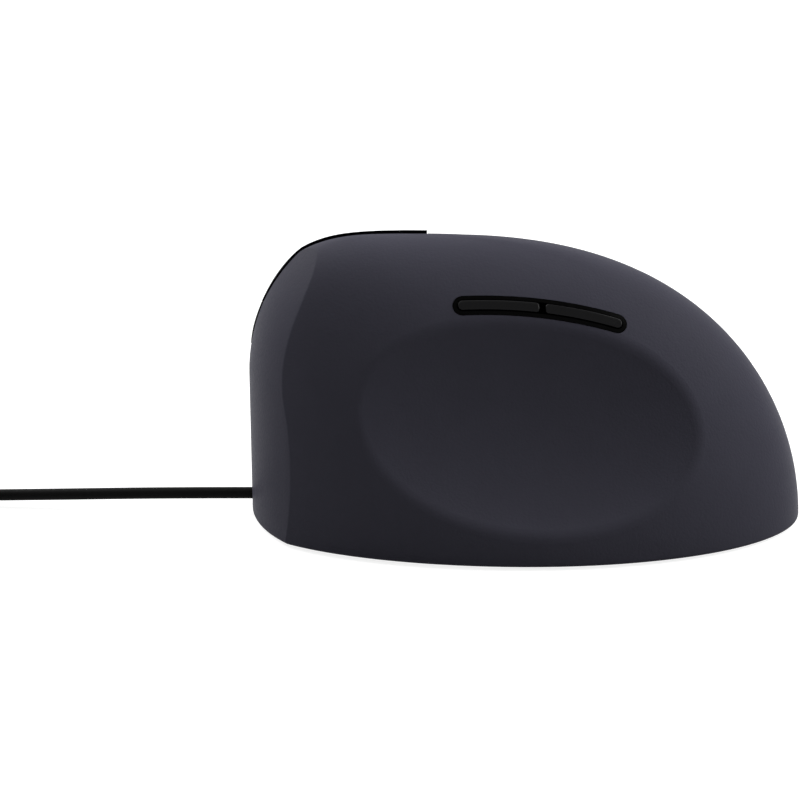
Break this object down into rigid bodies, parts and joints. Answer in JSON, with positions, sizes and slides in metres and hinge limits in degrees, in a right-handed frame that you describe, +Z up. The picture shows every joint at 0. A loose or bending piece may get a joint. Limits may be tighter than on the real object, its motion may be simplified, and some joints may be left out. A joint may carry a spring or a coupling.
{
  "type": "vertical computer mouse",
  "caption": "Right-handed vertical mouse with a tall thumb side, thumb dish, curved side keys, finger buttons, scroll wheel and a cable with plug.",
  "frame": {"origin": "centre of the bottom of the mouse's box, measured without the cable and what is on it, where the glides rest", "axes": "+Y towards the nose where the cable leaves, -X towards the thumb side, +X towards the finger side, +Z up"},
  "size_m": [0.0889, 0.2321, 0.0672],
  "materials": {
    "soft_touch": "soft-touch matte",
    "gloss_panel": "glossy",
    "gloss_keys": "glossy",
    "bezel_gloss": "glossy",
    "dark_plastic": "fine matte",
    "glide_white": "smooth",
    "wheel_rubber": "matte ribbed",
    "wheel_grey": "matte",
    "steel": "bright",
    "board_green": "solder mask",
    "switch_black": "matte",
    "plunger_white": "matte",
    "clear_lens": "clear",
    "dark_lens": "smooth",
    "header_cream": "matte",
    "ribbon_grey": "smooth",
    "can_blue": "sleeved",
    "cable_black": "satin",
    "tie_black": "matte",
    "plug_black": "matte",
    "tongue_black": "matte"
  },
  "bodies": {
    "housing": {"thumb_shell": "soft_touch", "palm_shell": "soft_touch", "base_plate": "dark_plastic", "centre_strip": "gloss_panel", "front_glide": "glide_white", "rear_glide": "glide_white", "window_frame": "dark_plastic", "case_screws": "steel", "wheel_bracket": "dark_plastic", "ir_emitter": "clear_lens", "ir_detector": "dark_lens", "finger_board": "board_green", "left_switch": "switch_black", "right_switch": "switch_black", "middle_switch": "switch_black", "dpi_switch": "switch_black", "side_bezel": "bezel_gloss", "side_board": "board_green", "forward_switch": "switch_black", "back_switch": "switch_black", "inner_frame": "dark_plastic", "main_board": "board_green", "optical_sensor": "switch_black", "sensor_lens": "clear_lens", "sensor_led": "clear_lens", "controller_chip": "switch_black", "timing_crystal": "steel", "capacitor": "can_blue", "lead_header": "header_cream", "finger_header": "header_cream", "side_header": "header_cream", "finger_ribbon": "ribbon_grey", "side_ribbon": "ribbon_grey", "inner_lead": "cable_black", "board_screws": "steel", "cable_grommet": "cable_black", "cable_lead": "cable_black", "cable_coil": "cable_black", "cable_tail": "cable_black", "cable_tie": "tie_black", "usb_overmould": "plug_black", "usb_shell": "steel", "usb_tongue": "tongue_black"},
    "left_button": {"left_button": "gloss_panel"},
    "right_button": {"right_button": "gloss_panel"},
    "wheel_carrier": {"wheel_carrier": "dark_plastic"},
    "wheel": {"wheel_hub": "wheel_grey", "wheel_tyre": "wheel_rubber", "wheel_axle": "steel"},
    "dpi_button": {"dpi_button": "gloss_keys"},
    "forward_button": {"forward_button": "gloss_keys"},
    "back_button": {"back_button": "gloss_keys"},
    "left_plunger": {"left_plunger": "plunger_white"},
    "right_plunger": {"right_plunger": "plunger_white"},
    "middle_plunger": {"middle_plunger": "plunger_white"},
    "dpi_plunger": {"dpi_plunger": "plunger_white"},
    "forward_plunger": {"forward_plunger": "plunger_white"},
    "back_plunger": {"back_plunger": "plunger_white"}
  },
  "joints": [
    {"name": "left_button_press", "type": "hinge", "parent": "housing", "child": "left_button", "pos_m": [0.01227, 0.02555, 0.04599], "axis": [-0.4279, -0.1079, 0.8974], "range_deg": [0, 1], "stiffness_Nm_per_rad": 0.8, "springref_deg": -1.72},
    {"name": "right_button_press", "type": "hinge", "parent": "housing", "child": "right_button", "pos_m": [0.01227, 0.02555, 0.04599], "axis": [-0.4279, -0.1079, 0.8974], "range_deg": [0, 1], "stiffness_Nm_per_rad": 0.8, "springref_deg": -1.72},
    {"name": "wheel_press", "type": "hinge", "parent": "housing", "child": "wheel_carrier", "pos_m": [0.00592, 0.02302, 0.04266], "axis": [-0.4279, -0.1079, 0.8974], "range_deg": [0, 1.5], "stiffness_Nm_per_rad": 0.5, "springref_deg": -2.86},
    {"name": "wheel_spin", "type": "hinge", "parent": "wheel_carrier", "child": "wheel", "pos_m": [0.0025, 0.03659, 0.04266], "axis": [-0.4279, -0.1079, 0.8974], "continuous": true},
    {"name": "dpi_button_press", "type": "slide", "parent": "housing", "child": "dpi_button", "axis": [-0.8701, -0.2194, -0.4413], "range_m": [0, 0.0003], "stiffness_N_per_m": 300, "springref_m": -0.002},
    {"name": "forward_button_press", "type": "slide", "parent": "housing", "child": "forward_button", "axis": [0.8033, 0.1442, -0.5779], "range_m": [0, 0.0003], "stiffness_N_per_m": 300, "springref_m": -0.002},
    {"name": "back_button_press", "type": "slide", "parent": "housing", "child": "back_button", "axis": [0.8033, 0.1442, -0.5779], "range_m": [0, 0.0003], "stiffness_N_per_m": 300, "springref_m": -0.002},
    {"name": "left_plunger_travel", "type": "slide", "parent": "housing", "child": "left_plunger", "axis": [-0.8701, -0.2194, -0.4413], "range_m": [0, 0.0006]},
    {"name": "right_plunger_travel", "type": "slide", "parent": "housing", "child": "right_plunger", "axis": [-0.8701, -0.2194, -0.4413], "range_m": [0, 0.0006]},
    {"name": "middle_plunger_travel", "type": "slide", "parent": "housing", "child": "middle_plunger", "axis": [-0.8701, -0.2194, -0.4413], "range_m": [0, 0.0006]},
    {"name": "dpi_plunger_travel", "type": "slide", "parent": "housing", "child": "dpi_plunger", "axis": [-0.8701, -0.2194, -0.4413], "range_m": [0, 0.0006]},
    {"name": "forward_plunger_travel", "type": "slide", "parent": "housing", "child": "forward_plunger", "axis": [0.8033, 0.1442, -0.5779], "range_m": [0, 0.0006]},
    {"name": "back_plunger_travel", "type": "slide", "parent": "housing", "child": "back_plunger", "axis": [0.8033, 0.1442, -0.5779], "range_m": [0, 0.0006]}
  ],
  "couplings": [
    {"joint": "left_plunger_travel", "follows": "left_button_press", "m_per_rad": 0.0166},
    {"joint": "right_plunger_travel", "follows": "right_button_press", "m_per_rad": 0.0166},
    {"joint": "middle_plunger_travel", "follows": "wheel_press", "m_per_rad": 0.0095},
    {"joint": "dpi_plunger_travel", "follows": "dpi_button_press", "ratio": 1},
    {"joint": "forward_plunger_travel", "follows": "forward_button_press", "ratio": 1},
    {"joint": "back_plunger_travel", "follows": "back_button_press", "ratio": 1}
  ]
}
